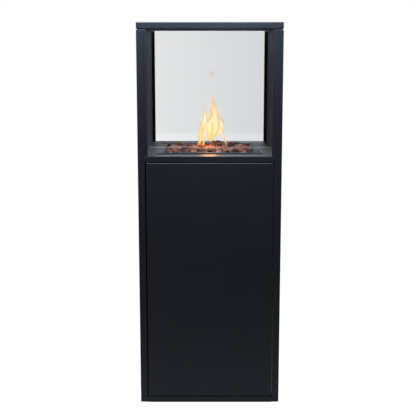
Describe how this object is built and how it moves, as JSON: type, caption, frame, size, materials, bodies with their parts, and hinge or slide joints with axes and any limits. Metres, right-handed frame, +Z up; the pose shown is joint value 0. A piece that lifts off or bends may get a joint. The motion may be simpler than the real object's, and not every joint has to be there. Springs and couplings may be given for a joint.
{
  "type": "outdoor heater",
  "caption": "Tall square steel gas fire column with a glazed see-through fire chamber over lava stones and a hinged door for the gas bottle.",
  "frame": {"origin": "on the floor under the centre of the heater", "axes": "+Z up the column, -Y out of the front, through the door, +X to the right of someone facing the door"},
  "size_m": [0.515, 0.515, 1.4],
  "materials": {
    "powder_coat": "fine-textured black powder coat",
    "deck_coat": "smooth satin black heat-proof paint",
    "liner_steel": "semi-gloss black heat-proof paint",
    "zinc_steel": "zinc-plated sheet steel",
    "stainless": "plain stainless steel",
    "burner_iron": "raw cast iron",
    "brass_fitting": "machined brass",
    "clear_glass": "clear toughened glass with a faint grey tint",
    "lava_stone": "rough reddish-brown lava stone",
    "white_ceramic": "glazed white ceramic insulator",
    "black_plastic": "moulded matt black plastic",
    "red_plastic": "glossy red plastic",
    "foot_rubber": "matt black rubber",
    "hose_rubber": "smooth orange gas hose",
    "pipe_aluminium": "drawn aluminium tube",
    "bottle_paint": "plain grey bottle paint",
    "regulator_body": "cast grey regulator body"
  },
  "bodies": {
    "cabinet": {"side_panel_left": "powder_coat", "side_panel_right": "powder_coat", "front_rail_lower": "powder_coat", "front_rail_upper": "powder_coat", "rear_rail_lower": "powder_coat", "rear_rail_upper": "powder_coat", "base_pan": "powder_coat", "foot_front_left": "foot_rubber", "foot_front_right": "foot_rubber", "foot_rear_left": "foot_rubber", "foot_rear_right": "foot_rubber", "rear_panel": "powder_coat", "rear_screw_left": "zinc_steel", "rear_screw_right": "zinc_steel", "hinge_bracket_lower": "powder_coat", "hinge_bracket_upper": "powder_coat", "hinge_pin_lower": "stainless", "hinge_pin_upper": "stainless", "strike_strip": "zinc_steel", "latch_body": "black_plastic", "chamber_liner_left": "liner_steel", "chamber_liner_right": "liner_steel", "glass_channel_front_left": "powder_coat", "glass_channel_front_right": "powder_coat", "glass_channel_rear_left": "powder_coat", "glass_channel_rear_right": "powder_coat", "front_glass": "clear_glass", "rear_glass": "clear_glass", "deck_plate": "deck_coat", "burner_tray": "stainless", "stone_grate": "stainless", "lava_bed": "lava_stone", "burner_head": "burner_iron", "gas_jet": "brass_fitting", "spark_electrode": "white_ceramic", "thermocouple": "stainless", "cap_shell": "powder_coat", "cap_liner": "liner_steel", "heat_shield": "zinc_steel", "control_plate": "powder_coat", "gas_valve": "brass_fitting", "igniter_body": "black_plastic", "tilt_switch": "black_plastic", "supply_pipe": "pipe_aluminium", "ignition_lead": "black_plastic", "thermocouple_lead": "brass_fitting", "gas_bottle": "bottle_paint", "bottle_collar": "bottle_paint", "bottle_valve": "brass_fitting", "regulator_nut": "brass_fitting", "regulator": "regulator_body", "gas_hose": "hose_rubber"},
    "door": {"door_skin": "powder_coat", "door_liner": "zinc_steel", "latch_striker": "zinc_steel"},
    "latch_plunger": {"latch_plunger": "black_plastic"},
    "valve_spindle": {"valve_spindle": "zinc_steel"},
    "control_knob": {"control_knob": "black_plastic"},
    "igniter_button": {"igniter_button": "red_plastic"},
    "handwheel": {"handwheel": "black_plastic"}
  },
  "joints": [
    {"name": "door_hinge", "type": "hinge", "parent": "cabinet", "child": "door", "pos_m": [-0.217, -0.2505, 0.467], "axis": [0, 0, -1], "range_deg": [0, 110]},
    {"name": "latch_press", "type": "slide", "parent": "cabinet", "child": "latch_plunger", "axis": [0, 1, 0], "range_m": [0, 0.003], "stiffness_N_per_m": 400, "springref_m": -0.001},
    {"name": "knob_push", "type": "slide", "parent": "cabinet", "child": "valve_spindle", "axis": [0, 1, 0], "range_m": [0, 0.004], "stiffness_N_per_m": 800, "springref_m": -0.001},
    {"name": "knob_turn", "type": "hinge", "parent": "valve_spindle", "child": "control_knob", "pos_m": [0, -0.2052, 0.85], "axis": [0, -1, 0], "range_deg": [0, 180]},
    {"name": "igniter_press", "type": "slide", "parent": "cabinet", "child": "igniter_button", "axis": [0, 1, 0], "range_m": [0, 0.006], "stiffness_N_per_m": 500, "springref_m": -0.001},
    {"name": "handwheel_turn", "type": "hinge", "parent": "cabinet", "child": "handwheel", "pos_m": [0, 0.02, 0.55], "axis": [0, 0, 1], "range_deg": [0, 540]}
  ]
}
